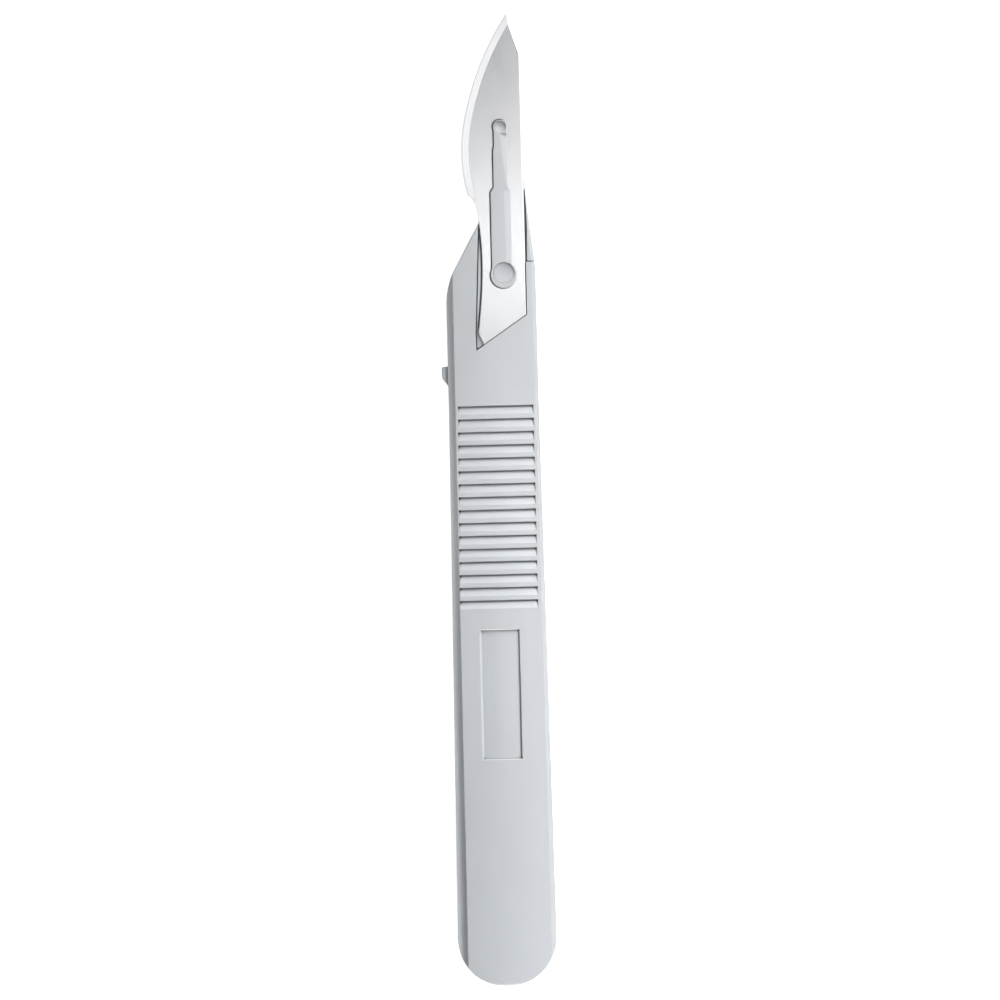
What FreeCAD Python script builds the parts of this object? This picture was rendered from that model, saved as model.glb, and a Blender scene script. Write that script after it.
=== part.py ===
import FreeCAD, Part
import math
import os
import Sketcher

# Disposable scalpel: a flat moulded plastic handle with a ground steel blade
# pressed over a keyhole-shaped boss on its tongue.
#
# Frame: the scalpel lies on its back. +Z is up, out of the face that carries
# the blade, +Y runs along the handle towards the blade's tip, +X is the side
# of the blade's spine. The origin is under the middle of the bounding box.

V = FreeCAD.Vector

doc = FreeCAD.newDocument("disposable_scalpel")
sheet = doc.addObject("Spreadsheet::Sheet", "Sizes")

SIZES = [
    # overall
    ("tip_y", 82.5, "Y of the blade's point"),
    ("butt_y", -82.5, "Y of the rounded butt end"),
    ("thick", 4.2, "thickness of the handle at its middle"),
    # plan outline of the moulding
    ("left_x", -7.5, "left side beside the grooves"),
    ("left_knee_y", 14.0, "where the left side starts to flare"),
    ("butt_left_x", -8.2, "left side at the butt"),
    ("butt_right_x", 8.55, "right side at the butt"),
    ("butt_radius", 8.1, "corner radius of the butt"),
    ("right_x", 7.72, "right side beside the grooves"),
    ("right_knee_y", 16.0, "where the right side starts to flare"),
    ("cheek_x", 7.68, "right side where the tongue starts"),
    ("cheek_y", 39.2, "Y where the tongue starts to taper"),
    ("tongue_x", 2.75, "X of the centre of the tongue's rounded end"),
    ("tongue_y", 63.3, "Y of the centre of the tongue's rounded end"),
    ("tongue_radius", 2.6, "radius of the tongue's end"),
    ("shoulder_x", -1.7, "X of the shoulder's upper end"),
    ("shoulder_y", 46.95, "Y of the shoulder's upper end"),
    ("shoulder_radius", 12.0, "rounding at the foot of the shoulder"),
    ("shoulder_root_y", 33.3, "Y where the shoulder leaves the left side"),
    # cross-section of the moulding
    ("crown_radius", 95.0, "radius of the slightly crowned face"),
    ("crown_x", 0.12, "X of the crown's highest line"),
    ("edge_front", 0.3, "broken edge round the face, before the face is crowned"),
    ("edge_back", 0.35, "broken edge round the back"),
    ("bevel_top_x", 7.12, "right crease at the cheek"),
    ("bevel_low_x", 7.87, "right crease at the butt"),
    ("bevel_slope", 1.1, "drop for each millimetre of the right bevel"),
    ("cove_top_x", -6.3, "left crease at the shoulder"),
    ("cove_low_x", -6.45, "left crease at the butt"),
    ("cove_radius", 1.5, "hollow radius of the left cove"),
    ("cove_drop", 0.88, "height of the left cove"),
    ("cove_rim", 0.13, "flat rim outside the left cove"),
    ("tongue_back_y", 41.0, "Y where the back starts to thin towards the tongue's end"),
    ("tongue_back_rise", 1.9, "how much thinner the tongue's end is"),
    # blade seat
    ("seat_z", 3.4, "height of the blade seat"),
    ("seat_left_top_x", -1.73, "left wall of the seat, upper end"),
    ("seat_left_top_y", 47.6, "left wall of the seat, upper end"),
    ("seat_left_low_x", -2.64, "left wall of the seat, lower bend"),
    ("seat_left_low_y", 28.2, "left wall of the seat, lower bend"),
    ("seat_corner_x", -2.55, "lower left corner of the seat"),
    ("seat_corner_y", 25.3, "lower left corner of the seat"),
    ("seat_right_x", 6.2, "right wall of the seat"),
    ("seat_right_y", 31.23, "lower right corner of the seat"),
    ("seat_open_y", 40.2, "where the right cheek ends"),
    ("relief_width", 0.2, "width of the relief slots at the foot of the seat's walls"),
    ("relief_tang", 0.28, "how far the relief slot under the tang shows beside it"),
    ("relief_depth", 1.3, "depth of the relief slots"),
    ("tongue_edge", 0.42, "bevel on the tongue's right edge"),
    # boss
    ("boss_low_x", 2.4, "centre of the large head"),
    ("boss_low_y", 38.05, "centre of the large head"),
    ("boss_low_radius", 2.2, "outer radius of the large head"),
    ("boss_top_x", 2.32, "centre of the small head"),
    ("boss_top_y", 63.18, "centre of the small head"),
    ("boss_top_radius", 1.18, "outer radius of the small head"),
    ("boss_wide_left", 0.485, "left side of the wide rib"),
    ("boss_wide_right", 3.8, "right side of the wide rib"),
    ("boss_step_y", 52.1, "top of the wide rib, left side"),
    ("boss_narrow_left", 1.07, "left side of the narrow rib"),
    ("boss_narrow_right", 3.42, "right side of the narrow rib"),
    ("boss_neck_left", 1.28, "left side of the neck under the small head"),
    ("boss_height", 0.82, "height of the boss above the seat"),
    ("boss_lip", 0.43, "height above the seat where the formed head starts"),
    ("boss_inset_left", 0.04, "how far the stem stands inside the head's left side"),
    ("boss_inset_right", 0.17, "how far the stem stands inside the head's right side"),
    ("boss_moat", 0.9, "depth of the moat round the stem"),
    ("boss_flat_low_x", 2.93, "right side of the wide rib's flat top, lower end"),
    ("boss_flat_top_x", 2.75, "right side of the wide rib's flat top, upper end"),
    ("dish_low_x", 2.42, "centre of the large head's dish"),
    ("dish_low_y", 38.42, "centre of the large head's dish"),
    ("dish_low_radius", 1.82, "radius of the large head's dish"),
    ("dish_top_radius", 1.04, "radius of the small head's dish"),
    ("dish_depth", 0.4, "depth of the dishes at their middle"),
    ("dish_wall", 0.22, "straight wall of the dishes"),
    # grip grooves
    ("groove_count", 16, "number of grip grooves on a face"),
    ("groove_pitch", 2.2, "distance from groove to groove"),
    ("groove_y", 15.97, "upper edge of the first groove"),
    ("groove_left", -6.62, "left end of the grooves"),
    ("groove_right", 6.86, "right end of the grooves"),
    ("groove_mouth", 1.44, "width of a groove at the face"),
    ("groove_depth", 0.46, "depth of a groove"),
    ("groove_wall_run", 0.11, "run of the groove's steep upper wall"),
    ("groove_root", 0.06, "width of the groove's root"),
    ("groove_cap", 0.3, "how far a groove's cut reaches out of the face"),
    ("groove_sweep", 8.13, "angle in degrees that a groove turns about the crown's axis"),
    ("border_top_x", -5.92, "inner side of the left border at the first groove"),
    ("border_low_x", -6.45, "inner side of the left border at the last groove"),
    # recessed panel
    ("panel_left", -3.25, "left side of the panel"),
    ("panel_right", 3.6, "right side of the panel"),
    ("panel_top", -22.1, "upper end of the panel"),
    ("panel_length", 21.9, "length of the panel"),
    ("panel_depth", 0.32, "depth of the panel at its middle"),
    ("panel_crown", 26.0, "radius of the panel's crowned floor"),
    ("panel_slope", 0.4, "run of the panel's left wall"),
    ("panel_draft", 0.1, "run of the panel's right wall"),
    ("panel_edge", 0.12, "small bevel at the panel's ends"),
    # side tab
    ("tab_x", -8.55, "outer side of the tab"),
    ("tab_top", 22.8, "upper end of the tab"),
    ("tab_corner", 21.2, "Y where the tab's lower corner starts"),
    ("tab_root", 19.36, "Y where the tab's lower side meets the handle"),
    ("tab_low_z", 1.6, "underside of the tab"),
    ("tab_thick", 0.92, "thickness of the tab"),
    ("tab_bevel", 0.16, "bevel along the tab's edges"),
    # ejector marks on the back
    ("pin_radius", 1.6, "radius of the ejector marks"),
    ("pin_depth", 0.08, "depth of the ejector marks"),
    ("pin_x", 0.4, "X of the ejector marks"),
    ("pin_first_y", -62.0, "Y of the lowest ejector mark"),
    ("pin_pitch", 30.0, "distance between the two marks on the grip"),
    ("pin_last_y", 27.0, "Y of the ejector mark under the seat"),
    # blade
    ("blade_thick", 0.4, "thickness of the blade strip"),
    ("blade_bevel", 1.33, "width of the ground bevel"),
    ("blade_bevel_drop", 0.185, "depth of the ground bevel on each face"),
    ("blade_belly_x", -4.36, "outermost point of the cutting edge"),
    ("blade_belly_y", 58.77, "outermost point of the cutting edge"),
    ("blade_belly_radius", 27.72, "radius of the edge's belly"),
    ("blade_bend_y", 63.97, "where the belly runs into the flatter part of the edge"),
    ("blade_edge_radius", 49.38, "radius of the edge next to the point"),
    ("blade_heel_y", 51.76, "heel of the edge"),
    ("blade_runout_y", 50.7, "where the ground bevel runs out behind the heel"),
    ("blade_notch_radius", 4.163, "radius of the notch behind the heel"),
    ("blade_notch_x", -1.8545, "end of the notch"),
    ("blade_notch_y", 49.0783, "end of the notch"),
    ("blade_tang_x", -1.3, "left side of the tang, middle"),
    ("blade_tang_y", 36.11, "left side of the tang, middle"),
    ("blade_clip_x", -2.1, "left side of the tang, lower end"),
    ("blade_clip_y", 28.3, "left side of the tang, lower end"),
    ("blade_foot_x", -1.22, "lower corner of the tang"),
    ("blade_foot_y", 26.37, "lower corner of the tang"),
    ("blade_spine_x", 6.1, "spine of the blade"),
    ("blade_spine_low_y", 31.33, "lower end of the spine"),
    ("blade_spine_top_y", 75.75, "upper end of the spine"),
    ("blade_spine_break", 0.3, "width of the broken edge along the spine"),
    ("blade_spine_drop", 0.1, "depth of the broken edge along the spine"),
    ("slot_gap", 0.22, "open gap between the slot's left edge and the boss"),
    ("slot_lap", 0.1, "how far the ribs lap over the slot's right edge"),
    ("slot_head_lap", 0.05, "how far the heads lap over the slot's right edge"),
]
for row, (alias, value, note) in enumerate(SIZES, start=1):
    sheet.set("A%d" % row, note)
    sheet.set("B%d" % row, str(value))
    sheet.setAlias("B%d" % row, alias)
doc.recompute()


class Dim:
    """A size: its number now and the expression that keeps it bound to the sheet."""

    def __init__(self, value, text):
        self.value = float(value)
        self.text = text

    def __add__(self, other):
        other = dim(other)
        return Dim(self.value + other.value, "(%s + %s)" % (self.text, other.text))

    def __sub__(self, other):
        other = dim(other)
        return Dim(self.value - other.value, "(%s - %s)" % (self.text, other.text))

    def __mul__(self, other):
        other = dim(other)
        return Dim(self.value * other.value, "(%s * %s)" % (self.text, other.text))

    def __truediv__(self, other):
        other = dim(other)
        return Dim(self.value / other.value, "(%s / %s)" % (self.text, other.text))

    def __neg__(self):
        return Dim(-self.value, "(0 - %s)" % self.text)

    __radd__ = __add__


def dim(value):
    return value if isinstance(value, Dim) else Dim(value, "(%r)" % float(value) if value < 0 else "%r" % float(value))


class Cells:
    """Gives each alias of the sheet as a bound size."""

    def __getattr__(self, alias):
        return Dim(float(sheet.get(alias)), "Sizes." + alias)


S = Cells()


def plane(body, role):
    for feature in body.Origin.OriginFeatures:
        if feature.Role == role:
            return feature
    raise RuntimeError("no " + role)


def new_sketch(body, name, role, at=(0, 0, 0)):
    """A sketch on an origin plane, moved by the bound offsets at (in its own axes)."""
    sk = body.newObject("Sketcher::SketchObject", name)
    sk.AttachmentSupport = [(plane(body, role), "")]
    sk.MapMode = "FlatFace"
    at = [dim(a) for a in at]
    sk.AttachmentOffset = FreeCAD.Placement(V(*[a.value for a in at]), FreeCAD.Rotation())
    for axis, a in zip("xyz", at):
        if "Sizes." in a.text:
            sk.setExpression("AttachmentOffset.Base." + axis, a.text)
    return sk


def across(body, name, y, x=0):
    """A sketch in the plane at y: its axes are +X and +Z, its normal is -Y."""
    return new_sketch(body, name, "XZ_Plane", (x, 0, -dim(y)))


def level(body, name, z=0):
    """A sketch in the plane at height z, seen from above."""
    return new_sketch(body, name, "XY_Plane", (0, 0, z))


def bind(sk, kind, args, size):
    size = dim(size)
    index = sk.addConstraint(Sketcher.Constraint(kind, *(list(args) + [size.value])))
    if "Sizes." in size.text:
        sk.setExpression("Constraints[%d]" % index, size.text)


def fix(sk, geo, pos, x=None, y=None):
    """Places a point of the sketch by its distances from the sketch's origin."""
    if x is not None:
        bind(sk, "DistanceX", (-1, 1, geo, pos), x)
    if y is not None:
        bind(sk, "DistanceY", (-1, 1, geo, pos), y)


def line(sk, p, q):
    return sk.addGeometry(Part.LineSegment(V(p[0], p[1], 0), V(q[0], q[1], 0)), False)


def arc(sk, centre, radius, start, end):
    """Counter-clockwise arc; angles in degrees."""
    circle = Part.Circle(V(centre[0], centre[1], 0), V(0, 0, 1), radius)
    return sk.addGeometry(Part.ArcOfCircle(circle, math.radians(start), math.radians(end)), False)


def arc_between(sk, p, q, radius, ccw=True):
    """Shorter arc from p to q with that radius. Returns its index and the positions of p and q."""
    mx, my = (p[0] + q[0]) / 2, (p[1] + q[1]) / 2
    dx, dy = q[0] - p[0], q[1] - p[1]
    chord = math.hypot(dx, dy)
    rise = math.sqrt(radius * radius - chord * chord / 4)
    side = 1 if ccw else -1
    cx, cy = mx - side * dy / chord * rise, my + side * dx / chord * rise
    a = math.degrees(math.atan2(p[1] - cy, p[0] - cx))
    b = math.degrees(math.atan2(q[1] - cy, q[0] - cx))
    if ccw:
        return arc(sk, (cx, cy), radius, a, b if b > a else b + 360), 1, 2
    return arc(sk, (cx, cy), radius, b, a if a > b else a + 360), 2, 1


def join(sk, a, b, smooth=False):
    sk.addConstraint(Sketcher.Constraint("Tangent" if smooth else "Coincident", a[0], a[1], b[0], b[1]))


def polygon(sk, points):
    """Closed straight-sided outline, each corner bound to the sheet."""
    points = [(dim(x), dim(y)) for x, y in points]
    n = len(points)
    ids = []
    for i in range(n):
        p, q = points[i], points[(i + 1) % n]
        ids.append(line(sk, (p[0].value, p[1].value), (q[0].value, q[1].value)))
    for i in range(n):
        join(sk, (ids[i], 2), (ids[(i + 1) % n], 1))
    for i in range(n):
        fix(sk, ids[i], 1, *points[i])
    return ids


def solved(sk):
    doc.recompute()
    if sk.solve() != 0:
        raise RuntimeError("sketch %s is not solved" % sk.Name)
    return sk


def volume(body):
    return body.Shape.Volume if body.Shape and not body.Shape.isNull() else 0.0


def feature(body, kind, name, sk=None, **values):
    """Adds a feature, recomputes, and stops if it failed or changed nothing."""
    before = volume(body)
    ob = body.newObject("PartDesign::" + kind, name)
    if sk is not None:
        ob.Profile = (sk, [""]) if kind in ("SubtractiveLoft", "AdditiveLoft") else sk
    for key, value in values.items():
        if isinstance(value, Dim):
            setattr(ob, key, value.value)
            ob.setExpression(key, value.text)
        else:
            setattr(ob, key, value)
    doc.recompute()
    if "Invalid" in ob.State or "Error" in ob.State or ob.Shape.isNull():
        raise RuntimeError("%s failed: %s" % (name, ob.State))
    change = volume(body) - before
    print("%-18s %-16s change %9.3f  volume %9.3f  valid %s" % (name, kind, change, volume(body), ob.Shape.isValid()))
    adds = kind == "Pad" or kind.startswith("Additive")
    if not ob.Shape.isValid() or (change <= 1e-6 if adds else change >= -1e-6):
        raise RuntimeError("%s did not change the body as meant" % name)
    return ob


def loft(body, name, first, second, kind="SubtractiveLoft"):
    return feature(body, kind, name, first, Sections=[(second, [""])], Ruled=True)


def edges_where(shape, test):
    return ["Edge%d" % (i + 1) for i, e in enumerate(shape.Edges) if test(e)]


def keyhole(sk, left, right, head_right=None, low_rise=0, top_rise=0):
    """Outline of the boss: large head, wide rib, narrow rib, neck and small head.
    left and right are its insets from the heads' outline, head_right the right
    inset at the two heads; the rises move the two round ends along Y."""
    left, right, low_rise, top_rise = dim(left), dim(right), dim(low_rise), dim(top_rise)
    head_right = right if head_right is None else dim(head_right)
    low_r = S.boss_low_radius - (left + head_right) / 2
    top_r = S.boss_top_radius - (left + head_right) / 2
    low_x = S.boss_low_x + (left - head_right) / 2
    top_x = S.boss_top_x + (left - head_right) / 2
    low_y, top_y = S.boss_low_y + low_rise, S.boss_top_y + top_rise
    wl, wr = S.boss_wide_left + left, S.boss_wide_right - right
    nl, nr = S.boss_narrow_left + left, S.boss_narrow_right - right
    neck = S.boss_neck_left + left
    step = S.boss_step_y - left * 0.45
    lx, ly, tx, ty = low_x.value, low_y.value, top_x.value, top_y.value

    def ang(x, r):
        return math.degrees(math.acos(max(-1, min(1, x / r))))

    a_left, a_right = ang(wl.value - lx, low_r.value), ang(wr.value - lx, low_r.value)
    low = arc(sk, (lx, ly), low_r.value, a_left, 360 + a_right)
    t_right, t_left = -ang(nr.value - tx, top_r.value), 360 - ang(neck.value - tx, top_r.value)
    top = arc(sk, (tx, ty), top_r.value, t_right, t_left)
    y_wr = ly + low_r.value * math.sin(math.radians(a_right))
    y_wl = ly + low_r.value * math.sin(math.radians(a_left))
    y_nr = ty + top_r.value * math.sin(math.radians(t_right))
    y_nl = ty + top_r.value * math.sin(math.radians(t_left))
    pts = [  # from the large head's right side up and round to its left side
        (wr.value, y_wr), (wr.value, step.value + 0.45), (nr.value, step.value + 0.6), (nr.value, y_nr),
    ]
    up = [line(sk, pts[i], pts[i + 1]) for i in range(3)]
    pts = [
        (neck.value, y_nl), (neck.value, step.value + 7.75), (nl.value, step.value + 7.15),
        (nl.value, step.value + 0.8), (wl.value, step.value), (wl.value, y_wl),
    ]
    down = [line(sk, pts[i], pts[i + 1]) for i in range(5)]
    chain = [(low, 1, 2)] + [(g, 1, 2) for g in up] + [(top, 1, 2)] + [(g, 1, 2) for g in down]
    for i in range(len(chain)):
        a, b = chain[i], chain[(i + 1) % len(chain)]
        join(sk, (a[0], a[2]), (b[0], b[1]))
    fix(sk, low, 3, low_x, low_y)
    fix(sk, top, 3, top_x, top_y)
    bind(sk, "Radius", (low,), low_r)
    bind(sk, "Radius", (top,), top_r)
    fix(sk, up[0], 1, x=wr)
    fix(sk, up[0], 2, wr, step + 0.45)
    fix(sk, up[1], 2, nr, step + 0.6)
    fix(sk, up[2], 2, x=nr)
    fix(sk, down[0], 1, x=neck)
    fix(sk, down[0], 2, neck, step + 7.75)
    fix(sk, down[1], 2, nl, step + 7.15)
    fix(sk, down[2], 2, nl, step + 0.8)
    fix(sk, down[3], 2, wl, step)
    fix(sk, down[4], 2, x=wl)
    return solved(sk)


# ---------------------------------------------------------------- handle
handle = doc.addObject("PartDesign::Body", "handle")
handle.Label = "handle"

# Plan outline: rounded butt, flaring sides, sloping shoulder on the left and
# a tapering tongue that carries the blade.
sk = level(handle, "plan_outline")
br = S.butt_radius.value
lx, rx = S.butt_left_x.value, S.butt_right_x.value
by = S.butt_y.value
cy = by + br
tx, ty, tr = S.tongue_x.value, S.tongue_y.value, S.tongue_radius.value
sx, sy, sr, sroot = S.shoulder_x.value, S.shoulder_y.value, S.shoulder_radius.value, S.shoulder_root_y.value
left_low = line(sk, (S.left_x.value, S.left_knee_y.value), (lx, cy))
butt_left = arc(sk, (lx + br, cy), br, 180, 270)
butt = line(sk, (lx + br, by), (rx - br, by))
butt_right = arc(sk, (rx - br, cy), br, 270, 360)
right_low = line(sk, (rx, cy), (S.right_x.value, S.right_knee_y.value))
right_top = line(sk, (S.right_x.value, S.right_knee_y.value), (S.cheek_x.value, S.cheek_y.value))
tongue_right = line(sk, (S.cheek_x.value, S.cheek_y.value), (tx + tr * 0.995, ty + 0.25))
tongue_end = arc(sk, (tx, ty), tr, 5.5, 173)
tongue_left = line(sk, (tx - tr * 0.993, ty + 0.31), (sx, sy))
dist = math.hypot(S.left_x.value + sr - sx, sroot - sy)
head = math.atan2(sroot - sy, S.left_x.value + sr - sx) - math.asin(sr / dist)
run = math.sqrt(dist * dist - sr * sr)
kx, ky = sx + run * math.cos(head), sy + run * math.sin(head)
shoulder = line(sk, (sx, sy), (kx, ky))
a0 = math.degrees(math.atan2(ky - sroot, kx - (S.left_x.value + sr)))
shoulder_root = arc(sk, (S.left_x.value + sr, sroot), sr, a0, 180)
left_top = line(sk, (S.left_x.value, sroot), (S.left_x.value, S.left_knee_y.value))
join(sk, (left_low, 2), (butt_left, 1), True)
join(sk, (butt_left, 2), (butt, 1), True)
join(sk, (butt, 2), (butt_right, 1), True)
join(sk, (butt_right, 2), (right_low, 1), True)
join(sk, (right_low, 2), (right_top, 1))
join(sk, (right_top, 2), (tongue_right, 1))
join(sk, (tongue_right, 2), (tongue_end, 1), True)
join(sk, (tongue_end, 2), (tongue_left, 1), True)
join(sk, (tongue_left, 2), (shoulder, 1))
join(sk, (shoulder, 2), (shoulder_root, 1), True)
join(sk, (shoulder_root, 2), (left_top, 1), True)
join(sk, (left_top, 2), (left_low, 1))
sk.addConstraint(Sketcher.Constraint("Horizontal", butt))
sk.addConstraint(Sketcher.Constraint("Vertical", left_top))
fix(sk, left_low, 1, S.left_x, S.left_knee_y)
fix(sk, left_low, 2, x=S.butt_left_x)
fix(sk, butt, 1, y=S.butt_y)
fix(sk, right_low, 1, x=S.butt_right_x)
fix(sk, right_low, 2, S.right_x, S.right_knee_y)
fix(sk, right_top, 2, S.cheek_x, S.cheek_y)
fix(sk, tongue_end, 3, S.tongue_x, S.tongue_y)
fix(sk, shoulder, 1, S.shoulder_x, S.shoulder_y)
fix(sk, shoulder_root, 2, y=S.shoulder_root_y)
bind(sk, "Radius", (butt_left,), S.butt_radius)
bind(sk, "Radius", (butt_right,), S.butt_radius)
bind(sk, "Radius", (tongue_end,), S.tongue_radius)
bind(sk, "Radius", (shoulder_root,), S.shoulder_radius)
solved(sk)
feature(handle, "Pad", "slab", sk, Length=S.thick)


# Bevelled outer edges, front and back.
def rim_at(z):
    return lambda e: e.BoundBox.ZMax < z + 0.001 and e.BoundBox.ZMin > z - 0.001


feature(handle, "Chamfer", "broken_edge_front", Base=(handle.Tip, edges_where(handle.Shape, rim_at(S.thick.value))),
        Size=S.edge_front)
feature(handle, "Chamfer", "broken_edge_back", Base=(handle.Tip, edges_where(handle.Shape, rim_at(0))),
        Size=S.edge_back)


def groove_profile(sk, face, sense):
    """Saw-tooth section of one groove: steep upper wall, narrow root, long ramp."""
    cap, depth, run = S.groove_cap, S.groove_depth, S.groove_wall_run
    up, low = S.groove_y, S.groove_y - S.groove_mouth
    ramp = S.groove_mouth - run - S.groove_root
    polygon(sk, [
        (up + run * cap / depth, face + cap * sense),
        (up - run, face - depth * sense),
        (up - run - S.groove_root, face - depth * sense),
        (low - ramp * cap / depth, face + cap * sense),
    ])
    return solved(sk)


def repeat_down(name, first, sk):
    """The same groove again and again, one pitch below the other."""
    pattern = handle.newObject("PartDesign::LinearPattern", name)
    pattern.Originals = [first]
    pattern.Direction = (sk, ["H_Axis"])
    pattern.Reversed = True
    pattern.Mode = "Extent"
    pattern.setExpression("Length", "Sizes.groove_pitch * (Sizes.groove_count - 1)")
    pattern.setExpression("Occurrences", "Sizes.groove_count")
    before = volume(handle)
    handle.Tip = pattern
    doc.recompute()
    print("%-18s change %9.3f  volume %9.3f" % (name, volume(handle) - before, volume(handle)))
    if not pattern.Shape.isValid() or volume(handle) >= before:
        raise RuntimeError(name + " did not repeat the groove")


# Grip grooves on the face, one below the other. Each is turned about the
# crown's axis, so that it keeps its depth from side to side.
sk = new_sketch(handle, "groove_front_profile", "YZ_Plane", (0, S.thick - S.crown_radius, S.crown_x))
groove_profile(sk, S.crown_radius, 1)
first = feature(handle, "Groove", "groove_front", sk, ReferenceAxis=(sk, ["H_Axis"]), Midplane=True, Angle=S.groove_sweep)
repeat_down("grooves_front", first, sk)

# Plain border to the left of the grooves: their left ends follow it.
sk = level(handle, "border_plan", S.thick - S.groove_depth - 0.45)
polygon(sk, [
    (S.groove_left - 0.25, S.groove_y + 1.0),
    (S.border_top_x, S.groove_y + 1.0),
    (S.border_low_x, S.groove_y - S.groove_pitch * S.groove_count),
    (S.groove_left - 0.25, S.groove_y - S.groove_pitch * S.groove_count),
])
feature(handle, "Pad", "border", solved(sk), Length=S.groove_depth + 0.45)

# The same grooves on the flat back.
sk = new_sketch(handle, "groove_back_profile", "YZ_Plane", (0, 0, S.groove_left))
groove_profile(sk, dim(0), -1)
first = feature(handle, "Pocket", "groove_back", sk, Length=S.groove_right - S.groove_left, Reversed=True)
repeat_down("grooves_back", first, sk)

# Border on the back, as on the face.
sk = level(handle, "border_back_plan")
polygon(sk, [
    (S.groove_left - 0.25, S.groove_y + 1.0),
    (S.border_top_x, S.groove_y + 1.0),
    (S.border_low_x, S.groove_y - S.groove_pitch * S.groove_count),
    (S.groove_left - 0.25, S.groove_y - S.groove_pitch * S.groove_count),
])
feature(handle, "Pad", "border_back", solved(sk), Length=S.groove_depth + 0.1)

# Slightly crowned face.
sk = across(handle, "crown_profile", 90)
cr, cx, cz = S.crown_radius.value, S.crown_x.value, S.thick.value
half = 12.0
z_side = cz - cr + math.sqrt(cr * cr - half * half)
a_side = math.degrees(math.asin(half / cr))
crown = arc(sk, (cx, cz - cr), cr, 90 - a_side, 90 + a_side)
l1 = line(sk, (cx - half, z_side), (cx - half, cz + 1.5))
l2 = line(sk, (cx - half, cz + 1.5), (cx + half, cz + 1.5))
l3 = line(sk, (cx + half, cz + 1.5), (cx + half, z_side))
join(sk, (crown, 2), (l1, 1))
join(sk, (l1, 2), (l2, 1))
join(sk, (l2, 2), (l3, 1))
join(sk, (l3, 2), (crown, 1))
fix(sk, crown, 3, S.crown_x, S.thick - S.crown_radius)
bind(sk, "Radius", (crown,), S.crown_radius)
fix(sk, l2, 1, S.crown_x - half, S.thick + 1.5)
fix(sk, l2, 2, S.crown_x + half, S.thick + 1.5)
fix(sk, l1, 1, x=S.crown_x - half)
fix(sk, l3, 2, x=S.crown_x + half)
feature(handle, "Pocket", "crown", solved(sk), Length=180.0, Reversed=True)


# Concave cove along the left side: steep at the crease, nearly flat at the rim.
def cove_section(name, y, crease_x, outer_x, face_z, sense):
    sk = across(handle, name, y)
    px, pz = crease_x.value, face_z.value
    qx, qz = (outer_x + S.cove_rim).value, pz - sense * S.cove_drop.value
    if sense > 0:
        g, p_end, q_end = arc_between(sk, (qx, qz), (px, pz), S.cove_radius.value, True)[0], 2, 1
    else:
        g, p_end, q_end = arc_between(sk, (px, pz), (qx, qz), S.cove_radius.value, True)[0], 1, 2
    far = -12.0
    l1 = line(sk, (qx, qz), (far, qz))
    l2 = line(sk, (far, qz), (far, pz + sense * 1.5))
    l3 = line(sk, (far, pz + sense * 1.5), (px, pz + sense * 1.5))
    l4 = line(sk, (px, pz + sense * 1.5), (px, pz))
    join(sk, (g, q_end), (l1, 1))
    join(sk, (l1, 2), (l2, 1))
    join(sk, (l2, 2), (l3, 1))
    join(sk, (l3, 2), (l4, 1))
    join(sk, (l4, 2), (g, p_end))
    fix(sk, l1, 1, outer_x + S.cove_rim, face_z - S.cove_drop * sense)
    fix(sk, l2, 1, dim(far), face_z - S.cove_drop * sense)
    fix(sk, l3, 1, dim(far), face_z + 1.5 * sense)
    fix(sk, l4, 1, crease_x, face_z + 1.5 * sense)
    fix(sk, l4, 2, crease_x, face_z)
    bind(sk, "Radius", (g,), S.cove_radius)
    return solved(sk)


crease_z = S.thick - 0.22
loft(handle, "cove_front",
     cove_section("cove_front_top", 45, S.cove_top_x, S.left_x, crease_z, 1),
     cove_section("cove_front_low", -84, S.cove_low_x, S.butt_left_x - 0.05, crease_z, 1))
loft(handle, "cove_back",
     cove_section("cove_back_top", 45, S.cove_top_x, S.left_x, dim(0), -1),
     cove_section("cove_back_low", -84, S.cove_low_x, S.butt_left_x - 0.05, dim(0), -1))



# Straight bevel along the right side.
def bevel_section(name, y, crease_x, face_z):
    sk = across(handle, name, y)
    polygon(sk, [
        (crease_x - 0.25, face_z + S.bevel_slope * 0.25),
        (crease_x + 1.3, face_z - S.bevel_slope * 1.3),
        (crease_x + 3.0, face_z - S.bevel_slope * 1.3),
        (crease_x + 3.0, face_z + 1.5),
        (crease_x - 0.25, face_z + 1.5),
    ])
    return solved(sk)


loft(handle, "bevel_right",
     bevel_section("bevel_right_top", 46, S.bevel_top_x, S.thick - 0.26),
     bevel_section("bevel_right_low", -84, S.bevel_low_x, S.thick - 0.31))

# The back of the tongue thins towards its end, clear of the table.
sk = new_sketch(handle, "tongue_back_profile", "YZ_Plane", (0, 0, -12))
polygon(sk, [
    (S.tongue_back_y, dim(-1)),
    (S.tongue_back_y, dim(0)),
    (S.tongue_y + S.tongue_radius + 1.0, S.tongue_back_rise),
    (S.tongue_y + S.tongue_radius + 1.0, dim(-1)),
])
feature(handle, "Pocket", "tongue_back", solved(sk), Length=24.0, Reversed=True)

# Blade seat: sunk into the face between the left wall, the diagonal wall and
# the right cheek, and open over the whole tongue.
sk = level(handle, "seat_plan", S.seat_z)
polygon(sk, [
    (S.seat_corner_x, S.seat_corner_y),
    (S.seat_right_x, S.seat_right_y),
    (S.seat_right_x, S.seat_open_y),
    (S.seat_right_x + 6.0, S.seat_open_y),
    (S.seat_right_x + 6.0, S.tongue_y + 8.0),
    (S.seat_left_top_x, S.tongue_y + 8.0),
    (S.seat_left_top_x, S.seat_left_top_y),
    (S.seat_left_low_x, S.seat_left_low_y),
])
feature(handle, "Pocket", "seat", solved(sk), Length=S.thick, Reversed=True)

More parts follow.
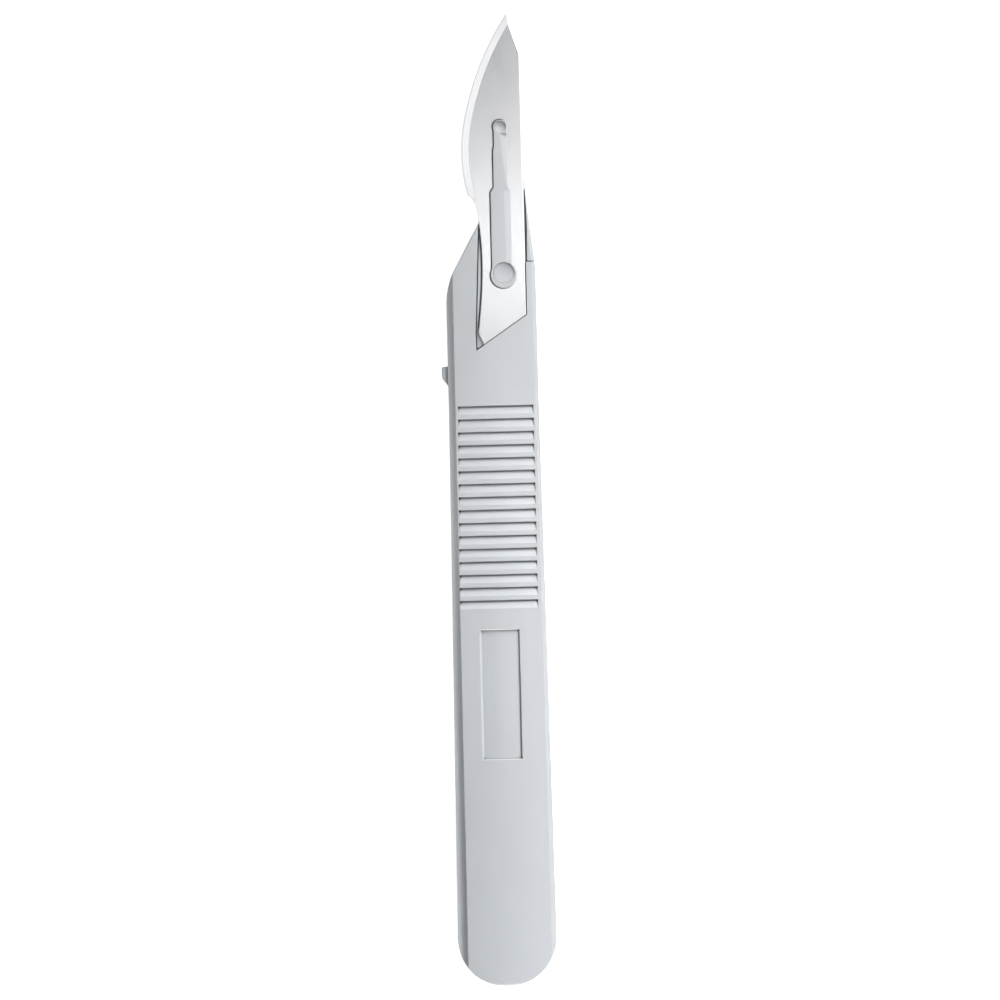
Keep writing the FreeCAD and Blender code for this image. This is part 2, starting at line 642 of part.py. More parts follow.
# Relief slots at the foot of the left and diagonal walls, at the end of the
# right cheek and beside the spine, where the steel must not bottom out.
sk = level(handle, "relief_left_plan", S.seat_z)
w = S.relief_width
slope = 0.6777
polygon(sk, [
    (S.seat_left_low_x + 0.85, S.seat_left_low_y + 18.0),
    (S.seat_left_low_x, S.seat_left_low_y),
    (S.seat_corner_x, S.seat_corner_y),
    (S.seat_corner_x + 1.5, S.seat_corner_y + 1.5 * slope),
    (S.seat_corner_x + 1.5 - w * 0.56, S.seat_corner_y + 1.5 * slope + w * 0.83),
    (S.seat_corner_x + w * 0.85, S.seat_corner_y + w * 1.78),
    (S.seat_left_low_x + w, S.seat_left_low_y),
    (S.seat_left_low_x + w + 0.85, S.seat_left_low_y + 18.0),
])
feature(handle, "Pocket", "relief_left", solved(sk), Length=S.relief_depth)

# Relief slot along the tang's left edge: the steel overhangs it.
sk = level(handle, "relief_tang_plan", S.seat_z)
tang_line = [(-0.343, 11.49), (-0.158, 9.89), (0.01, 7.89), (0.123, 5.39), (0.129, 2.89), (0.0, 0.0), (-0.211, -2.61), (-0.466, -5.11), (-0.682, -6.91)]
polygon(sk,
        [(S.blade_tang_x + dx - S.relief_tang, S.blade_tang_y + dy) for dx, dy in tang_line]
        + [(S.blade_tang_x + dx + 0.35, S.blade_tang_y + dy) for dx, dy in reversed(tang_line)])
feature(handle, "Pocket", "relief_tang", solved(sk), Length=S.relief_depth)
sk = level(handle, "relief_cheek_plan", S.seat_z)
polygon(sk, [
    (S.seat_right_x - 0.25, S.seat_open_y),
    (S.seat_right_x + 1.2, S.seat_open_y),
    (S.seat_right_x + 1.2, S.seat_open_y + w * 0.9),
    (S.seat_right_x + 0.2, S.seat_open_y + w * 1.35),
    (S.seat_right_x + 0.33, S.seat_open_y + 7.0),
    (S.seat_right_x + 0.1, S.seat_open_y + 12.3),
    (S.seat_right_x - 0.25, S.seat_open_y + 12.3),
])
feature(handle, "Pocket", "relief_right", solved(sk), Length=S.relief_depth)

# Bevel on the open right edge of the tongue.
def tongue_bevel(name, y, edge_x):
    sk = across(handle, name, y)
    c = S.tongue_edge
    polygon(sk, [
        (edge_x - c - 0.3, S.seat_z + 0.3),
        (edge_x + 0.3, S.seat_z - c - 0.3),
        (edge_x + 3.0, S.seat_z - c - 0.3),
        (edge_x + 3.0, S.seat_z + 0.3),
    ])
    return solved(sk)


loft(handle, "tongue_bevel",
     tongue_bevel("tongue_bevel_low", S.seat_open_y, S.cheek_x - 0.1),
     tongue_bevel("tongue_bevel_top", S.seat_open_y + 16.0, S.cheek_x - 0.1 - 16.0 * 0.0955))

# Keyhole boss: a moat in the seat, a stem that stands in the blade's slot, and
# a formed head that laps over the slot's right edge.
feature(handle, "Pocket", "boss_moat",
        keyhole(level(handle, "boss_moat_plan", S.seat_z), -S.slot_gap, S.slot_lap + 0.03, S.slot_head_lap + 0.03,
                dim(-0.03), S.slot_gap * 0.4),
        Length=S.boss_moat)
feature(handle, "Pad", "boss_stem",
        keyhole(level(handle, "boss_stem_plan", S.seat_z - S.boss_moat), S.boss_inset_left, S.boss_inset_right),
        Length=S.boss_moat + S.boss_height)
feature(handle, "Pad", "boss_head", keyhole(level(handle, "boss_head_plan", S.seat_z + S.boss_lip), 0, 0),
        Length=S.boss_height - S.boss_lip)


# The ribs fall away on their right side.
def rib_section(name, y, flat_x, foot_x):
    sk = across(handle, name, y)
    top_z = S.seat_z + S.boss_height
    foot_z = S.seat_z + S.boss_lip + 0.03
    polygon(sk, [
        (flat_x, top_z),
        (foot_x, foot_z),
        (foot_x + 0.6, foot_z),
        (foot_x + 0.6, top_z + 0.4),
        (flat_x, top_z + 0.4),
    ])
    return solved(sk)


loft(handle, "rib_wide_side",
     rib_section("rib_wide_low", S.boss_low_y + 2.3, S.boss_flat_low_x, S.boss_wide_right + 0.02),
     rib_section("rib_wide_top", S.boss_step_y + 0.6, S.boss_flat_top_x, S.boss_wide_right + 0.02))
loft(handle, "rib_narrow_side",
     rib_section("rib_narrow_low", S.boss_step_y + 0.6, S.boss_narrow_right - 0.12, S.boss_narrow_right + 0.02),
     rib_section("rib_narrow_top", S.boss_top_y - 1.15, S.boss_narrow_right - 1.15, S.boss_narrow_right + 0.02))


# Dished middles of the two heads.
def dish(name, x, y, radius):
    sk = across(handle, name + "_profile", y, x)
    rim_z = S.seat_z + S.boss_height - S.dish_wall
    low_z = S.seat_z + S.boss_height - S.dish_depth
    r, h = radius.value, (rim_z - low_z).value
    big = (r * r + h * h) / (2 * h)
    a = math.degrees(math.asin(r / big))
    g = arc(sk, (0, low_z.value + big), big, 270, 270 + a)
    l1 = line(sk, (r, rim_z.value), (r, rim_z.value + 0.6))
    l2 = line(sk, (r, rim_z.value + 0.6), (0, rim_z.value + 0.6))
    l3 = line(sk, (0, rim_z.value + 0.6), (0, low_z.value))
    join(sk, (g, 2), (l1, 1))
    join(sk, (l1, 2), (l2, 1))
    join(sk, (l2, 2), (l3, 1))
    join(sk, (l3, 2), (g, 1))
    sk.addConstraint(Sketcher.Constraint("PointOnObject", g, 3, -2))
    sk.addConstraint(Sketcher.Constraint("PointOnObject", l3, 1, -2))
    sk.addConstraint(Sketcher.Constraint("PointOnObject", l3, 2, -2))
    fix(sk, l3, 2, y=low_z)
    fix(sk, l1, 1, radius, rim_z)
    fix(sk, l1, 2, radius, rim_z + 0.6)
    fix(sk, l2, 2, y=rim_z + 0.6)
    solved(sk)
    feature(handle, "Groove", name, sk, ReferenceAxis=(sk, ["V_Axis"]), Angle=360.0)


dish("dish_low", S.dish_low_x, S.dish_low_y, S.dish_low_radius)
dish("dish_top", S.boss_top_x, S.boss_top_y, S.dish_top_radius)

# Blank recessed panel with a crowned floor and sloping sides.
sk = across(handle, "panel_profile", S.panel_top)
apex = S.thick - S.panel_depth
floor_left, floor_right = S.panel_left + S.panel_slope, S.panel_right - S.panel_draft
mid = (floor_left + floor_right) / 2
pr = S.panel_crown.value
ha = ((floor_right - floor_left) / 2).value
zs = apex.value - pr + math.sqrt(pr * pr - ha * ha)
aa = math.degrees(math.asin(ha / pr))
g = arc(sk, (mid.value, apex.value - pr), pr, 90 - aa, 90 + aa)
xl, xr, zt = S.panel_left.value, S.panel_right.value, S.thick.value + 0.3
l1 = line(sk, (mid.value - ha, zs), (xl - 0.24, zt))
l2 = line(sk, (xl - 0.24, zt), (xr + 0.06, zt))
l3 = line(sk, (xr + 0.06, zt), (mid.value + ha, zs))
join(sk, (g, 2), (l1, 1))
join(sk, (l1, 2), (l2, 1))
join(sk, (l2, 2), (l3, 1))
join(sk, (l3, 2), (g, 1))
fix(sk, g, 3, mid, apex - S.panel_crown)
bind(sk, "Radius", (g,), S.panel_crown)
fix(sk, l1, 1, x=floor_left)
fix(sk, l3, 2, x=floor_right)
fix(sk, l2, 1, S.panel_left - 0.24, S.thick + 0.3)
fix(sk, l2, 2, S.panel_right + 0.06, S.thick + 0.3)
feature(handle, "Pocket", "panel", solved(sk), Length=S.panel_length, Reversed=True)


def panel_end(e):
    b = e.BoundBox
    y = (b.YMin + b.YMax) / 2
    ends = (S.panel_top.value, (S.panel_top - S.panel_length).value)
    return (b.YMax - b.YMin < 0.01 and min(abs(y - ends[0]), abs(y - ends[1])) < 0.01
            and b.XMax - b.XMin > 5 and b.XMax < 4 and b.XMin > -3.6 and b.ZMin > S.thick.value - 0.15)


names = edges_where(handle.Shape, panel_end)
print("panel end edges", names)
feature(handle, "Chamfer", "panel_end_bevels", Base=(handle.Tip, names), Size=S.panel_edge)

# Small tab on the left side, at half thickness.
sk = level(handle, "tab_plan", S.tab_low_z)
polygon(sk, [
    (S.left_x + 0.35, S.tab_top),
    (S.tab_x, S.tab_top),
    (S.tab_x, S.tab_corner),
    (S.tab_x + 0.13, S.tab_corner - 0.52),
    (S.tab_x + 0.49, S.tab_corner - 0.98),
    (S.left_x + 0.06, S.tab_root),
    (S.left_x + 0.35, S.tab_root),
])
feature(handle, "Pad", "tab", solved(sk), Length=S.tab_thick)


def tab_edge(e):
    b = e.BoundBox
    m = e.valueAt((e.FirstParameter + e.LastParameter) / 2)
    z_low, z_top = S.tab_low_z.value, (S.tab_low_z + S.tab_thick).value
    flat = b.ZMax - b.ZMin < 1e-4 and (abs(b.ZMin - z_top) < 1e-4 or abs(b.ZMin - z_low) < 1e-4)
    return flat and m.x < S.left_x.value - 0.02 and S.tab_root.value - 0.1 < m.y < S.tab_top.value + 0.01


names = edges_where(handle.Shape, tab_edge)
print("tab edges", names)
feature(handle, "Chamfer", "tab_edges", Base=(handle.Tip, names), Size=S.tab_bevel)

# Shallow round ejector marks on the back.
sk = level(handle, "ejector_plan")
for y in (S.pin_first_y, S.pin_first_y + S.pin_pitch, S.pin_last_y):
    g = sk.addGeometry(Part.Circle(V(S.pin_x.value, y.value, 0), V(0, 0, 1), S.pin_radius.value), False)
    fix(sk, g, 3, S.pin_x, y)
    bind(sk, "Radius", (g,), S.pin_radius)
feature(handle, "Pocket", "ejector_marks", solved(sk), Length=S.pin_depth, Reversed=True)

# ---------------------------------------------------------------- blade
blade = doc.addObject("PartDesign::Body", "blade")
blade.Label = "blade"
sk = level(blade, "blade_outline")
bc = (S.blade_belly_x.value + S.blade_belly_radius.value, S.blade_belly_y.value)
rb, ra = S.blade_belly_radius.value, S.blade_edge_radius.value


def on_belly(y):
    return bc[0] - math.sqrt(rb * rb - (y - bc[1]) ** 2), y


bend = on_belly(S.blade_bend_y.value)
ac = (bend[0] + (bc[0] - bend[0]) * ra / rb, bend[1] + (bc[1] - bend[1]) * ra / rb)


def on_front(y):
    return ac[0] - math.sqrt(ra * ra - (y - ac[1]) ** 2), y


def belly_arc(sk, y_from, y_to):
    """Arc of the edge's belly between two heights, bound to the sheet."""
    p, q = on_belly(y_from.value), on_belly(y_to.value)
    g = arc_between(sk, p, q, rb, y_to.value < y_from.value)
    fix(sk, g[0], 3, S.blade_belly_x + S.blade_belly_radius, S.blade_belly_y)
    bind(sk, "Radius", (g[0],), S.blade_belly_radius)
    return g


def front_arc(sk, belly, y_top):
    """The edge's flatter part, from the end of the belly's arc up to a height."""
    g = arc_between(sk, bend, on_front(y_top.value), ra, False)
    join(sk, (belly[0], belly[2]), (g[0], g[1]), True)
    fix(sk, g[0], g[2], y=y_top)
    bind(sk, "Radius", (g[0],), S.blade_edge_radius)
    return g


tip = on_front(S.tip_y.value)
heel = on_belly(S.blade_heel_y.value)
notch = (S.blade_notch_x.value, S.blade_notch_y.value)
tang = (S.blade_tang_x.value, S.blade_tang_y.value)
clip = (S.blade_clip_x.value, S.blade_clip_y.value)
foot = (S.blade_foot_x.value, S.blade_foot_y.value)
spine_low = (S.blade_spine_x.value, S.blade_spine_low_y.value)
spine_top = (S.blade_spine_x.value, S.blade_spine_top_y.value)
edge_b = belly_arc(sk, S.blade_heel_y, S.blade_bend_y)
edge_a = front_arc(sk, edge_b, S.tip_y)
fix(sk, edge_b[0], edge_b[1], y=S.blade_heel_y)
fix(sk, edge_b[0], edge_b[2], y=S.blade_bend_y)
notch_a = arc_between(sk, heel, notch, S.blade_notch_radius.value, False)
tang_a = arc_between(sk, notch, tang, 58.0, False)
tang_b = arc_between(sk, tang, clip, 121.6, False)
corner = line(sk, clip, foot)
base = line(sk, foot, spine_low)
spine = line(sk, spine_low, spine_top)
point = line(sk, spine_top, tip)
join(sk, (edge_b[0], edge_b[1]), (notch_a[0], notch_a[1]))
join(sk, (notch_a[0], notch_a[2]), (tang_a[0], tang_a[1]), True)
join(sk, (tang_a[0], tang_a[2]), (tang_b[0], tang_b[1]), True)
join(sk, (tang_b[0], tang_b[2]), (corner, 1))
join(sk, (corner, 2), (base, 1))
join(sk, (base, 2), (spine, 1))
join(sk, (spine, 2), (point, 1))
join(sk, (point, 2), (edge_a[0], edge_a[2]))
fix(sk, tang_a[0], tang_a[1], S.blade_notch_x, S.blade_notch_y)
fix(sk, tang_b[0], tang_b[1], S.blade_tang_x, S.blade_tang_y)
fix(sk, corner, 1, S.blade_clip_x, S.blade_clip_y)
fix(sk, base, 1, S.blade_foot_x, S.blade_foot_y)
fix(sk, spine, 1, S.blade_spine_x, S.blade_spine_low_y)
fix(sk, spine, 2, S.blade_spine_x, S.blade_spine_top_y)
bind(sk, "Radius", (notch_a[0],), S.blade_notch_radius)
solved(sk)
feature(blade, "Pad", "strip", sk, Length=S.blade_thick)

# Keyhole slot over the boss.
feature(blade, "Pocket", "slot",
        keyhole(level(blade, "slot_plan", S.blade_thick), -S.slot_gap, S.slot_lap, S.slot_head_lap,
                dim(-0.03), S.slot_gap * 0.4),
        Length=S.blade_thick)


# Ground bevels that meet along the cutting edge, one on each face. Their
# section is swept from the outermost point of the edge up to the point of the
# blade and down past the heel.
def ground_section(name):
    sk = across(blade, name, S.blade_belly_y)
    x, w, d, t = S.blade_belly_x, S.blade_bevel, S.blade_bevel_drop, S.blade_thick
    polygon(sk, [
        (x + w * 1.2, t + d * 0.2),
        (x - 0.02, t - d * 1.014),
        (x - 0.02, d * 1.014),
        (x + w * 1.2, -(d * 0.2)),
        (x + w * 1.2, dim(-0.6)),
        (x - 1.0, dim(-0.6)),
        (x - 1.0, t + 0.6),
        (x + w * 1.2, t + 0.6),
    ])
    return solved(sk)


sk = level(blade, "edge_path_up")
path = belly_arc(sk, S.blade_belly_y, S.blade_bend_y)
fix(sk, path[0], path[1], y=S.blade_belly_y)
fix(sk, path[0], path[2], y=S.blade_bend_y)
front_arc(sk, path, S.tip_y + 1.0)
feature(blade, "SubtractivePipe", "ground_up", ground_section("ground_up_section"), Spine=(solved(sk), ["Edge1", "Edge2"]))
sk = level(blade, "edge_path_down")
path = belly_arc(sk, S.blade_belly_y, S.blade_runout_y)
fix(sk, path[0], path[1], y=S.blade_belly_y)
fix(sk, path[0], path[2], y=S.blade_runout_y)
feature(blade, "SubtractivePipe", "ground_down", ground_section("ground_down_section"), Spine=(solved(sk), ["Edge1"]))


# Broken edges along the spine and the slanting back of the point.
def spine_edge(z):
    def test(e):
        b = e.BoundBox
        return (b.ZMax - b.ZMin < 1e-6 and abs(b.ZMin - z) < 1e-6 and not hasattr(e.Curve, "Radius")
                and e.Length > 4 and b.XMax > S.blade_spine_x.value - 0.01 and b.YMax > 74)
    return test


t = S.blade_thick.value
for tag, z in (("face", t), ("back", 0.0)):
    names = edges_where(blade.Shape, spine_edge(z))
    print("spine edges", tag, names)
    feature(blade, "Chamfer", "spine_break_" + tag, Base=(blade.Tip, names), ChamferType="Two distances",
            Size=S.blade_spine_break, Size2=S.blade_spine_drop, FlipDirection=(tag == "back"))
print("blade box", blade.Shape.BoundBox)

blade.setExpression("Placement.Base.z", "Sizes.seat_z")
doc.recompute()

# ---------------------------------------------------------------- checks and files
for ob in doc.Objects:
    if "Invalid" in ob.State or "Error" in ob.State:
        raise RuntimeError("%s: %s" % (ob.Name, ob.State))
os.makedirs("parts", exist_ok=True)
for body in (handle, blade):
    shape = body.Shape
    if shape.isNull() or not shape.isValid() or len(shape.Solids) != 1:
        raise RuntimeError("%s is not one valid solid" % body.Label)
    b = shape.BoundBox
    print("%-8s volume %9.2f mm3  X %.3f %.3f  Y %.3f %.3f  Z %.3f %.3f" % (
        body.Label, shape.Volume, b.XMin, b.XMax, b.YMin, b.YMax, b.ZMin, b.ZMax))
for body in (handle, blade):
    body.Shape.exportStep("parts/%s.step" % body.Label)
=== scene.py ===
import math
import bpy
from mathutils import Vector, Matrix

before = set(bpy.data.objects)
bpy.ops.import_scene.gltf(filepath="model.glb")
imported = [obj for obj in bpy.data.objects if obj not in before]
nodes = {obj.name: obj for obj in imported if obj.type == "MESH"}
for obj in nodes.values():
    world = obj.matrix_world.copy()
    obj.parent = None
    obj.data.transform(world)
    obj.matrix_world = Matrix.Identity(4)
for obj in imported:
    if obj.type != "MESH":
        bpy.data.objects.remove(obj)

MM = 0.001
scene = bpy.context.scene


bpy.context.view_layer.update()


# ---------------------------------------------------------------- material helpers
class Tree:
    """Short-hand for building a material's node tree."""

    def __init__(self, name):
        self.mat = bpy.data.materials.new(name)
        self.mat.use_nodes = True
        self.nt = self.mat.node_tree
        self.nt.nodes.clear()
        self.out = self.add("ShaderNodeOutputMaterial")
        self.bsdf = self.add("ShaderNodeBsdfPrincipled")
        self.link(self.bsdf.outputs[0], self.out.inputs["Surface"])

    def add(self, kind, **values):
        n = self.nt.nodes.new(kind)
        for k, v in values.items():
            setattr(n, k, v)
        return n

    def link(self, a, b):
        self.nt.links.new(a, b)

    def put(self, socket, value):
        if hasattr(value, "is_output"):
            self.link(value, socket)
        else:
            socket.default_value = value

    def coords(self):
        return self.add("ShaderNodeTexCoord").outputs["Object"]

    def mapped(self, vector, scale=(1, 1, 1), rotation=(0, 0, 0), location=(0, 0, 0)):
        n = self.add("ShaderNodeMapping")
        n.inputs["Scale"].default_value = scale
        n.inputs["Rotation"].default_value = rotation
        n.inputs["Location"].default_value = location
        self.link(vector, n.inputs["Vector"])
        return n.outputs[0]

    def noise(self, vector, scale, detail=3.0, rough=0.5, lacunarity=2.0):
        n = self.add("ShaderNodeTexNoise")
        n.inputs["Scale"].default_value = scale
        n.inputs["Detail"].default_value = detail
        n.inputs["Roughness"].default_value = rough
        n.inputs["Lacunarity"].default_value = lacunarity
        self.link(vector, n.inputs["Vector"])
        return n.outputs["Fac"]

    def ramp(self, value, low, high, out_low=0.0, out_high=1.0, smooth=True):
        n = self.add("ShaderNodeMapRange")
        n.interpolation_type = "SMOOTHSTEP" if smooth else "LINEAR"
        self.put(n.inputs["Value"], value)
        n.inputs["From Min"].default_value = low
        n.inputs["From Max"].default_value = high
        n.inputs["To Min"].default_value = out_low
        n.inputs["To Max"].default_value = out_high
        return n.outputs[0]

    def math(self, operation, a, b=0.0, clamp=False):
        n = self.add("ShaderNodeMath", operation=operation)
        n.use_clamp = clamp
        self.put(n.inputs[0], a)
        self.put(n.inputs[1], b)
        return n.outputs[0]

    def mix(self, factor, a, b):
        """Mix of two colours."""
        n = self.add("ShaderNodeMix", data_type="RGBA")
        self.put(n.inputs[0], factor)
        self.put(n.inputs[6], a)
        self.put(n.inputs[7], b)
        return n.outputs[2]

    def bump(self, height, distance, strength=1.0, normal=None):
        n = self.add("ShaderNodeBump")
        n.inputs["Strength"].default_value = strength
        n.inputs["Distance"].default_value = distance
        self.link(height, n.inputs["Height"])
        if normal is not None:
            self.link(normal, n.inputs["Normal"])
        return n.outputs[0]

    def soft_edges(self, radius, samples=4):
        n = self.add("ShaderNodeBevel")
        n.samples = samples
        n.inputs["Radius"].default_value = radius
        return n.outputs[0]

    def edges(self, radius, low, high):
        """Mask of the narrow strips along sharp edges."""
        geo = self.add("ShaderNodeNewGeometry")
        n = self.add("ShaderNodeVectorMath", operation="DOT_PRODUCT")
        self.link(self.soft_edges(radius, 4), n.inputs[0])
        self.link(geo.outputs["True Normal"], n.inputs[1])
        return self.ramp(self.math("SUBTRACT", 1.0, n.outputs["Value"]), low, high)

    def cavity(self, distance, samples=8, inside=False):
        n = self.add("ShaderNodeAmbientOcclusion")
        n.samples = samples
        n.inside = inside
        n.inputs["Distance"].default_value = distance
        return n.outputs["AO"]


# ---------------------------------------------------------------- moulded plastic
def plastic():
    t = Tree("light_grey_plastic")
    p = t.coords()
    # colour: pale cool grey, a little uneven as pigment flows in the mould
    flow = t.noise(t.mapped(p, (1.0, 0.22, 1.0)), 160.0, 3.0, 0.55)
    speck = t.noise(p, 5200.0, 1.0, 0.5)
    base = t.mix(t.ramp(flow, 0.3, 0.7), (0.528, 0.546, 0.566, 1), (0.549, 0.567, 0.587, 1))
    base = t.mix(t.ramp(speck, 0.68, 0.8, 0.0, 0.05), base, (0.42, 0.43, 0.44, 1))
    # painted shade: the colour goes nearly black in narrow slots and grooves, where the occlusion is high
    shut = t.cavity(0.55 * MM, 6)
    base = t.mix(t.ramp(shut, 0.38, 0.82, 0.93, 0.0), base, (0.02, 0.023, 0.026, 1))
    # painted highlight: sharp edges are painted pale, as if they caught the light, except in narrow slots
    painted_edge_highlight = t.math("MULTIPLY", t.edges(0.11 * MM, 0.01, 0.12), t.ramp(shut, 0.8, 0.97))
    base = t.mix(t.math("MULTIPLY", painted_edge_highlight, 0.5), base, (0.9, 0.91, 0.92, 1))
    t.link(base, t.bsdf.inputs["Base Color"])
    # surface: satin, a little uneven where fingers and packing touch it
    rub = t.noise(t.mapped(p, (1.0, 0.3, 1.0), (0, 0, 0.4)), 420.0, 4.0, 0.6)
    rough = t.ramp(rub, 0.2, 0.8, 0.27, 0.34, False)
    t.link(rough, t.bsdf.inputs["Roughness"])
    grain = t.noise(p, 9000.0, 2.0, 0.6)
    wave = t.noise(t.mapped(p, (1.0, 0.4, 1.0)), 240.0, 2.0, 0.5)
    n = t.soft_edges(0.07 * MM)
    n = t.bump(wave, 0.02 * MM, 1.0, n)
    n = t.bump(grain, 0.0012 * MM, 1.0, n)
    t.link(n, t.bsdf.inputs["Normal"])
    t.bsdf.inputs["IOR"].default_value = 1.49
    t.bsdf.inputs["Subsurface Weight"].default_value = 0.0
    return t.mat


# ---------------------------------------------------------------- ground steel
def steel():
    t = Tree("ground_steel")
    p = t.coords()
    geo = t.add("ShaderNodeNewGeometry")
    split = t.add("ShaderNodeSeparateXYZ")
    t.link(geo.outputs["True Normal"], split.inputs[0])
    flat = t.math("ABSOLUTE", split.outputs["Z"])
    bevel = t.ramp(flat, 0.985, 0.996, 1.0, 0.0)
    # rolled strip: fine lines along the blade; ground bevel: lines across it
    roll = t.noise(t.mapped(p, (26.0, 0.5, 1.0)), 700.0, 3.0, 0.6)
    hone = t.noise(t.mapped(p, (0.6, 34.0, 1.0), (0, 0, 0.25)), 800.0, 3.0, 0.6)
    cloud = t.noise(t.mapped(p, (1.0, 0.5, 1.0)), 260.0, 3.0, 0.55)
    base = t.mix(t.ramp(cloud, 0.3, 0.7), (0.79, 0.8, 0.815, 1), (0.815, 0.82, 0.83, 1))
    # painted shade: the steel goes dark where the occlusion is high, in the slot and narrow gaps
    shut = t.cavity(0.4 * MM, 5)
    base = t.mix(t.ramp(shut, 0.0, 0.5, 0.7, 0.0), base, (0.1, 0.105, 0.11, 1))
    # thin darker line along the grind's upper limit and the stamped outline
    dark_edge_line = t.math("MULTIPLY", t.edges(0.2 * MM, 0.0003, 0.003), t.math("SUBTRACT", 1.0, bevel))
    base = t.mix(t.math("MULTIPLY", dark_edge_line, 0.35), base, (0.25, 0.255, 0.26, 1))
    # darker line along the honed cutting edge
    dark_cutting_edge_line = t.math("MULTIPLY", t.edges(0.2 * MM, 0.02, 0.15), bevel)
    base = t.mix(t.math("MULTIPLY", dark_cutting_edge_line, 0.6), base, (0.3, 0.305, 0.31, 1))
    t.link(base, t.bsdf.inputs["Base Color"])
    t.bsdf.inputs["Metallic"].default_value = 1.0
    lines = t.mix(bevel, roll, hone)
    rough = t.math("ADD", t.ramp(cloud, 0.25, 0.75, 0.21, 0.25, False), t.ramp(lines, 0.35, 0.65, -0.01, 0.015, False))
    t.link(rough, t.bsdf.inputs["Roughness"])
    n = t.soft_edges(0.03 * MM)
    n = t.bump(roll, 0.0007 * MM, 1.0, n)
    n = t.bump(t.math("MULTIPLY", hone, bevel), 0.0016 * MM, 1.0, n)
    t.link(n, t.bsdf.inputs["Normal"])
    return t.mat


def floor_material():
    t = Tree("pale_floor")
    p = t.coords()
    cloud = t.noise(p, 9.0, 3.0, 0.5)
    # contact shade in the narrow gap under the handle's broken edge
    shut = t.ramp(t.cavity(0.4 * MM, 6), 0.6, 0.99)
    base = t.mix(t.ramp(cloud, 0.3, 0.7), (0.88, 0.885, 0.89, 1), (0.9, 0.9, 0.9, 1))
    t.link(t.mix(shut, (0.02, 0.02, 0.021, 1), base), t.bsdf.inputs["Base Color"])
    t.bsdf.inputs["Roughness"].default_value = 0.8
    t.bsdf.inputs["Specular IOR Level"].default_value = 0.1
    t.link(t.mix(shut, (0.15, 0.155, 0.16, 1), (1, 1, 1, 1)), t.bsdf.inputs["Emission Color"])
    # a shadowless white ground to the eye, which throws no extra light on the handle's sides
    path = t.add("ShaderNodeLightPath")
    t.link(t.math("MULTIPLY", path.outputs["Is Camera Ray"], 0.85), t.bsdf.inputs["Emission Strength"])
    return t.mat


def wear(obj, material):
    obj.data.materials.clear()
    obj.data.materials.append(material)


wear(nodes["handle"], plastic())
wear(nodes["blade"], steel())

# ---------------------------------------------------------------- floor
bpy.ops.mesh.primitive_plane_add(size=4.0, location=(0, 0, -0.02 * MM))
floor = bpy.context.object
floor.name = "floor"
wear(floor, floor_material())

# ---------------------------------------------------------------- light
world = bpy.data.worlds.new("studio")
scene.world = world
world.use_nodes = True
nt = world.node_tree
nt.nodes.clear()
out = nt.nodes.new("ShaderNodeOutputWorld")
back = nt.nodes.new("ShaderNodeBackground")
coord = nt.nodes.new("ShaderNodeTexCoord")
split = nt.nodes.new("ShaderNodeSeparateXYZ")
ramp = nt.nodes.new("ShaderNodeValToRGB")
nt.links.new(coord.outputs["Generated"], split.inputs[0])
nt.links.new(split.outputs["Z"], ramp.inputs["Fac"])
nt.links.new(ramp.outputs["Color"], back.inputs["Color"])
nt.links.new(back.outputs[0], out.inputs["Surface"])
stops = ramp.color_ramp.elements
stops[0].position, stops[0].color = 0.0, (0.8, 0.8, 0.8, 1)
stops[1].position, stops[1].color = 0.74, (0.95, 0.96, 0.97, 1)
dim_top = stops.new(0.93)
dim_top.color = (0.14, 0.142, 0.146, 1)
back.inputs["Strength"].default_value = 0.3


def area(name, at, aim, size, size_y, power, colour=(1, 1, 1), spread=180, roll=0.0):
    """A rectangular soft light at a point, facing another; size runs along X at no roll."""
    data = bpy.data.lights.new(name, "AREA")
    data.shape = "RECTANGLE"
    data.size, data.size_y = size, size_y
    data.energy = power
    data.color = colour
    data.spread = math.radians(spread)
    ob = bpy.data.objects.new(name, data)
    scene.collection.objects.link(ob)
    ob.location = at
    ob.rotation_mode = "QUATERNION"
    turn = (Vector(aim) - Vector(at)).to_track_quat("-Z", "Y")
    ob.rotation_quaternion = turn @ Matrix.Rotation(math.radians(roll), 3, "Z").to_quaternion()
    ob.visible_camera = False
    return ob


def far(name, towards, distance, size, size_y, power, aim=(0, 0, 0), **more):
    """An area light that stands at a distance from its aim, in the direction towards."""
    d = Vector(towards).normalized() * distance
    area(name, Vector(aim) + d, aim, size, size_y, power, **more)


# soft key from the upper right, far enough to fall evenly along the handle
far("key_high", (0.463, 0.571, 0.68), 1.5, 0.4, 0.4, 1.2)
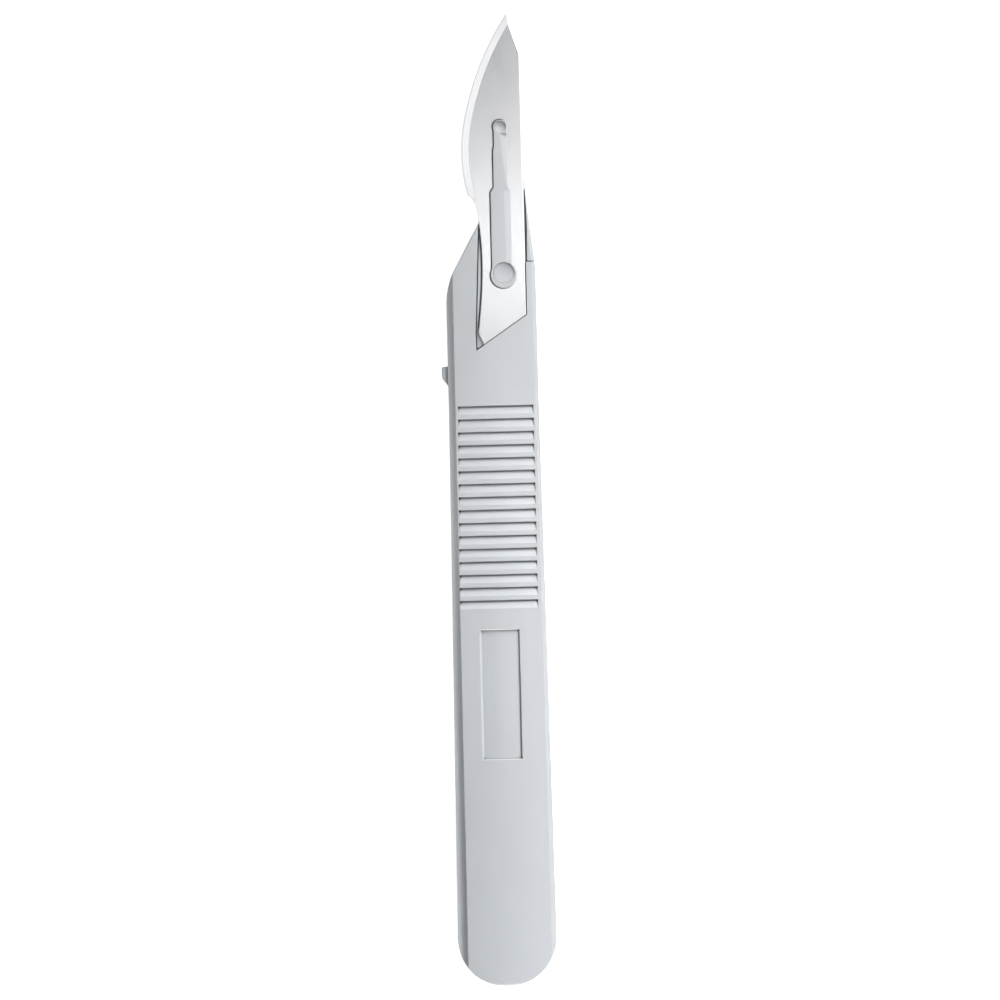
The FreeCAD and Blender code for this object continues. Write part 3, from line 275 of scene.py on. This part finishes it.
# louvred strip near the handle's right side, its cells turned towards the butt
for i in range(20):
    y = -0.10 + 0.02 * i
    power = 0.0040 if y < 0.02 else 0.0036
    area("louvre_%02d" % i, (0.040, y + 0.01, 0.045), (0.0, y - 0.06, 0.003), 0.035, 0.018, power, spread=80)
# long box nearly overhead, which gives the crowned face its sheen
far("sheen_top", (0.1, 0.0, 0.995), 0.5, 0.4, 0.06, 0.11)
# low strip near the handle's left side, for the cove
area("left_strip", (-0.032, 0.0, 0.030), (0.0, 0.0, 0.003), 0.02, 0.22, 0.0073)
# low light from the butt's end
far("butt_low", (0.0, -1.0, 0.09), 0.35, 0.1, 0.03, 1.0, (0, -0.08, 0.002))
# small soft boxes straight above, which the steel mirrors
for i, (y, power) in enumerate(((0.042, 0.0039), (0.059, 0.0114))):
    area("above_%d" % i, (0.002, y, 0.3), (0.002, y, 0), 0.09, 0.017, power)
# card on the left, which the ground bevel mirrors
area("left_card", (-0.095, 0.09, 0.3), (0.0, 0.07, 0), 0.22, 0.08, 0.075)
# card on the right, which the face's right side and the spine's broken edge mirror
far("right_card", (0.6, 0.15, 0.79), 0.42, 0.25, 0.1, 0.129, (0, 0.06, 0))

# ---------------------------------------------------------------- camera
cam_data = bpy.data.cameras.new("camera")
cam = bpy.data.objects.new("camera", cam_data)
scene.collection.objects.link(cam)
scene.camera = cam
cam_data.type = "PERSP"
cam_data.sensor_width = 36.0
cam_data.sensor_fit = "HORIZONTAL"
cam_data.lens = 200.0
cam_data.clip_start, cam_data.clip_end = 0.05, 10.0

FRAME = 169.6 * MM          # width that the picture spans at the handle's face
ROLL = math.radians(1.41)   # the handle's lean in the picture
face_z = 3.9 * MM
distance = FRAME * cam_data.lens / cam_data.sensor_width
# where the middle of the picture lies in the row frame
centre = Vector((0.817 * MM, -0.075 * MM, 0))
cam.location = (centre.x, centre.y, face_z + distance)
cam.rotation_mode = "XYZ"
cam.rotation_euler = (0, 0, -ROLL)

scene.view_settings.view_transform = "Standard"
scene.view_settings.look = "None"
scene.view_settings.exposure = 0.0
scene.view_settings.gamma = 1.0
